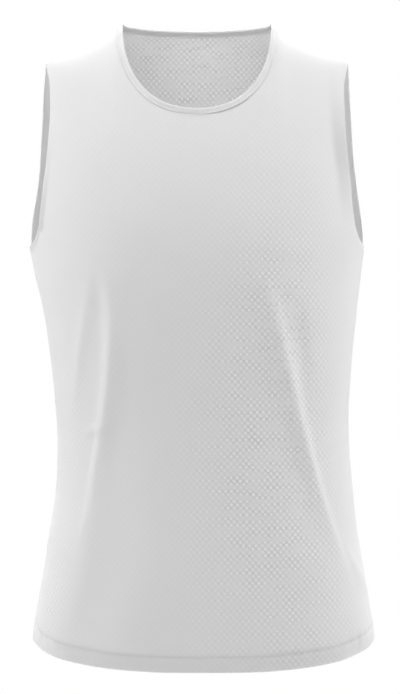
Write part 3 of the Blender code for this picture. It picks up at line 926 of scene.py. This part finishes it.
def turned_out(points, faces, outward):
    """Faces, turned round where their normals point against the outward directions."""
    corner = points[faces]
    normal = np.cross(corner[:, 2] - corner[:, 0], corner[:, 3] - corner[:, 1])
    against = (normal * outward[faces[:, 0]]).sum(axis=-1) < 0
    return np.where(against[:, None], faces[:, ::-1], faces)


def add_allowance(kind, side):
    """A doubled strip along a seam, from its front side round to its free edge on the back."""
    share, rise = seam_line(kind, side)
    share, rise = share[:, None], rise[:, None]
    off = np.linspace(-ALLOWANCE_LAP, ALLOWANCE, ALLOWANCE_COLUMNS)[None, :]
    along = np.arange(len(share))[:, None]
    loose = np.clip(off / ALLOWANCE, 0, 1) * (1 + np.cos(1.3 * along + 2 * np.cos(0.17 * along)))
    depth = WALL + ALLOWANCE_LIFT + ALLOWANCE_LOOSE * loose
    front_side = beside_seam(FRONT, share, rise, np.maximum(-off, 0), depth)
    back_side = beside_seam(BACK, share, rise, np.maximum(off, 0), depth)
    point = np.where((off < 0)[..., None], front_side, back_side)
    outward = np.broadcast_to(back_normal(share, rise), point.shape)
    length = length_along(point[:, 0])
    lengths = np.stack(np.broadcast_arrays(off, length[:, None]), axis=-1)
    faces = grid_faces(np.arange(loose.size).reshape(loose.shape))
    faces = turned_out(point.reshape(-1, 3), faces, outward.reshape(-1, 3))
    name = f"{kind}_allowance_{'left' if side > 0 else 'right'}"
    piece = new_piece(name, knit, point, faces, lengths)
    give_wall(piece, ALLOWANCE_THICKNESS, soft_edge=0.0004)
    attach(piece, "root")


for kind, side in SEAMS:
    add_allowance(kind, side)

# SEWING THREAD
# White spun polyester thread. One round of stitches holds the turned-up hem and another
# the neck binding, both seen from either side, and overlock threads wrap the allowances.

THREAD_RADIUS = 0.00026
STITCH = 0.0021  # length of one stitch
STITCH_STEP = 0.0026  # from one stitch to the next
STITCH_SINK = 0.00034  # how far its ends go down into the cloth
STITCH_RINGS = np.array([-0.86, -0.5, 0.0, 0.5, 0.86])  # along a stitch, from end to end
STITCH_SIDES = 6
HEM_ROW_END = 0.997  # share at which a row of the hem's stitches ends
HEM_ROW_POINTS = 500
HEM_THREAD_OUT = 0.00008  # of the middle of the hem's thread from the cloth's face
BINDING_THREAD_IN = 0.0003  # of the middle of the binding's thread, in from its leg's face
OVERLOCK_STEP = 0.0024
OVERLOCK_START = 0.0005  # from the seam to where the threads start
OVERLOCK_PAST = 0.0001  # how far they go past the allowance's edge
OVERLOCK_SLANT = 0.35  # of the way to the next thread


def thread_material():
    """Spun polyester: white and a little smoother than the knit, with a fine slanting twist."""
    material, tree, shader = new_material("white_spun_polyester_thread", {
        "Roughness": 0.55,
        "Specular IOR Level": 0.35,
        "Sheen Weight": 0.1,
    })
    place = add_node(tree, "TexCoord")
    twist = add_node(
        tree, "TexWave", {"Vector": place.outputs["Object"]},
        {"Scale": 900.0, "Distortion": 1.5}, bands_direction="DIAGONAL",
    )
    colour = add_node(
        tree, "Mix", {0: twist.outputs["Fac"]},
        {6: linear("#E4E4E4"), 7: linear("#F8F8F8")}, data_type="RGBA",
    )
    tree.links.new(colour.outputs[2], shader.inputs["Base Color"])
    bump = add_node(
        tree, "Bump", {"Height": twist.outputs["Fac"]}, {"Strength": 0.5, "Distance": 0.0001}
    )
    tree.links.new(bump.outputs[0], shader.inputs["Normal"])
    return material


def at_even_steps(step, line, *others):
    """A line's points, and other vectors along it, read at even steps of its length."""
    length = length_along(line)
    count = int(length[-1] / step)
    at = (np.arange(count) + 0.5) * length[-1] / count
    return [
        np.stack([np.interp(at, length, part[:, i]) for i in range(3)], axis=1)
        for part in (line, *others)
    ]


def stitch_mesh(middle, run, up):
    """Points and faces of a row of stitches: round threads whose ends bend into the cloth.

    run goes from a stitch's middle to its end, and up off the cloth. Its middle line is a
    parabola, and its radius a flattened half ellipse along it.
    """
    turn = 2 * np.pi * np.arange(STITCH_SIDES) / STITCH_SIDES
    place = np.concatenate([[-1.0], np.repeat(STITCH_RINGS, STITCH_SIDES), [1.0]])
    angle = np.concatenate([[0.0], np.tile(turn, len(STITCH_RINGS)), [0.0]])
    thick = THREAD_RADIUS * np.sqrt(1 - place**4)
    over = thick * np.cos(angle) - STITCH_SINK * place**2
    side = unit(np.cross(run, up))
    point = middle[:, None] + run[:, None] * place[None, :, None]
    point = point + up[:, None] * over[None, :, None]
    point = point + side[:, None] * (thick * np.sin(angle))[None, :, None]
    ring = 1 + np.arange(len(place) - 2).reshape(len(STITCH_RINGS), STITCH_SIDES)
    beyond = np.roll(ring, -1, axis=1)
    first, last = np.zeros(STITCH_SIDES, int), np.full(STITCH_SIDES, len(place) - 1)
    one = np.concatenate([
        np.stack([ring[:-1], beyond[:-1], beyond[1:]], axis=-1).reshape(-1, 3),
        np.stack([ring[:-1], beyond[1:], ring[1:]], axis=-1).reshape(-1, 3),
        np.stack([first, beyond[0], ring[0]], axis=-1),
        np.stack([last, ring[-1], beyond[-1]], axis=-1),
    ])
    faces = one[None] + len(place) * np.arange(len(middle))[:, None, None]
    return point.reshape(-1, 3), faces.reshape(-1, 3)


def add_stitches(name, rows):
    """One piece for several rows of stitches, each given as middle, run and up."""
    parts = [stitch_mesh(*row) for row in rows]
    start = np.cumsum([0] + [len(point) for point, _ in parts[:-1]])
    points = np.concatenate([point for point, _ in parts])
    faces = np.concatenate([face + first for (_, face), first in zip(parts, start)])
    piece = new_piece(name, thread, points, faces)
    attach(piece, "root")


def row_of_stitches(line, up):
    """Middle, run and up of each stitch in a row along a line."""
    forward = np.gradient(line, axis=0)
    middle, run, up = at_even_steps(STITCH_STEP, line, forward, up)
    return middle, unit(run) * STITCH / 2, unit(up)


def hem_row(cut, depth):
    """Stitches of one panel's hem, from side seam to side seam, outside or (deeper) inside."""
    share = np.linspace(-HEM_ROW_END, HEM_ROW_END, HEM_ROW_POINTS)
    rise = -1 + HEM_HEIGHT / (UNDERARM_HEIGHT - hem_level(share))
    up = form_normal(cut, share, rise) * (1 if depth <= 0 else -1)
    return row_of_stitches(cloth_point(cut, share, rise, depth), up)


def overlock_row(kind, side):
    """Threads across an allowance, each a little slanted, from its seam to past its edge."""
    share, rise = seam_line(kind, side)
    depth = WALL + ALLOWANCE_LIFT + ALLOWANCE_THICKNESS
    start = beside_seam(BACK, share, rise, OVERLOCK_START, depth)
    end = beside_seam(BACK, share, rise, ALLOWANCE + OVERLOCK_PAST, depth)
    start, end, up = at_even_steps(OVERLOCK_STEP, start, end, -back_normal(share, rise))
    slant = np.gradient(start, axis=0) * OVERLOCK_SLANT
    return (start + end) / 2, (end - start) / 2 + slant, up


thread = thread_material()
hem_depths = (-HEM_THREAD_OUT, 2 * HEM_FOLD + HEM_THREAD_OUT)
hem_rows = [hem_row(cut, depth) for cut in (FRONT, BACK) for depth in hem_depths]
add_stitches("hem_stitches", hem_rows)

closed = [np.concatenate([part, part[:1]]) for part in (seam, outward, inward)]
on_binding = closed[0] + closed[2] * STITCH_FROM_EDGE
outer_leg = on_binding + closed[1] * (BINDING_OUT - BINDING_THREAD_IN)
inner_leg = on_binding - closed[1] * (BINDING_IN - BINDING_THREAD_IN)
binding_rows = [row_of_stitches(outer_leg, closed[1]), row_of_stitches(inner_leg, -closed[1])]
add_stitches("binding_stitches", binding_rows)

add_stitches("overlock_threads", [overlock_row(kind, side) for kind, side in SEAMS])

# STAGE
# A plain pale floor well below the garment, soft light from above and from both sides,
# and a camera straight in front at the height of the waist.

FLOOR_RADIUS = 4.0
FLOOR_HEIGHT = -1.6
FLOOR_POINTS = 96
WHITE = (1.0, 1.0, 1.0, 1.0)

# The floor is seen almost as bright as the backdrop, and from below not at all
floor_mesh = bpy.data.meshes.new("floor")
turn = np.linspace(0, 2 * np.pi, FLOOR_POINTS, endpoint=False)
level = np.full(FLOOR_POINTS, FLOOR_HEIGHT)
rim = np.stack([FLOOR_RADIUS * np.cos(turn), FLOOR_RADIUS * np.sin(turn), level], axis=-1)
floor_mesh.from_pydata(rim.tolist(), [], [list(range(FLOOR_POINTS))])
floor = add_object("floor", floor_mesh)
floor_paint, tree, shader = new_material(
    "pale_floor", {"Base Color": linear("#DEDEDE"), "Roughness": 0.9}
)
glow = add_node(tree, "Emission", inputs={0: WHITE, 1: 0.90})
seen = add_node(tree, "LightPath")
evenly = add_node(tree, "Math", {0: seen.outputs["Is Camera Ray"]}, {1: 0.8}, operation="MULTIPLY")
pale = add_node(tree, "MixShader", {0: evenly, 1: shader, 2: glow})
facing = add_node(tree, "NewGeometry")
clear = add_node(tree, "BsdfTransparent")
mixed = add_node(tree, "MixShader", {0: facing.outputs["Backfacing"], 1: pale, 2: clear})
tree.links.new(mixed.outputs[0], tree.nodes["Material Output"].inputs["Surface"])
floor_mesh.materials.append(floor_paint)

# The backdrop is white to the camera, and only a weak fill to the cloth
world = bpy.data.worlds.new("studio")
bpy.context.scene.world = world
world.use_nodes = True
tree = world.node_tree
backdrop = tree.nodes["Background"]
backdrop.inputs["Color"].default_value = WHITE
backdrop.inputs["Strength"].default_value = 1.0
fill = add_node(tree, "Background", inputs={0: WHITE, 1: 0.10})
seen = add_node(tree, "LightPath")
mixed = add_node(tree, "MixShader", {0: seen.outputs["Is Camera Ray"], 1: fill, 2: backdrop})
tree.links.new(mixed.outputs[0], tree.nodes["World Output"].inputs["Surface"])

Softbox = namedtuple("Softbox", "name place size power")
AIM = (0.0, 0.0, -0.3)
for box in (
    Softbox("front_high", (0.0, -1.2, 1.4), (1.4, 0.8), 17.5),
    Softbox("above", (0.0, -0.3, 2.2), (2.4, 1.6), 9),
    Softbox("front", (0.0, -3.6, -0.9), (2.0, 2.0), 33),
    Softbox("back_high", (0.0, 1.6, 2.0), (2.4, 1.2), 85),
    Softbox("left", (-2.6, 0.2, 0.0), (1.4, 2.2), 34),
    Softbox("right", (2.6, 0.2, 0.0), (1.4, 2.2), 38),
    Softbox("left_back", (-2.0, 1.7, 0.0), (1.2, 1.6), 8),
    Softbox("right_back", (2.0, 1.7, 0.0), (1.2, 1.6), 8),
    Softbox("left_front", (-1.8, -2.0, 1.4), (1.2, 1.2), 8),
):
    light = bpy.data.lights.new(box.name, "AREA")
    light.shape = "RECTANGLE"
    light.size, light.size_y = box.size
    light.energy = box.power
    lamp = add_object(box.name, light)
    lamp.location = box.place
    away = lamp.location - type(lamp.location)(AIM)
    lamp.rotation_euler = away.to_track_quat("Z", "Y").to_euler()

CAMERA_PLACE = (0.0031, -2.4, -0.3375)
CAMERA_LENS = 119.7

camera = bpy.data.cameras.new("camera")
camera.lens = CAMERA_LENS
viewpoint = add_object("camera", camera)
viewpoint.location = CAMERA_PLACE
viewpoint.rotation_euler = (np.pi / 2, 0, 0)
bpy.context.scene.camera = viewpoint
bpy.context.scene.view_settings.view_transform = "Standard"
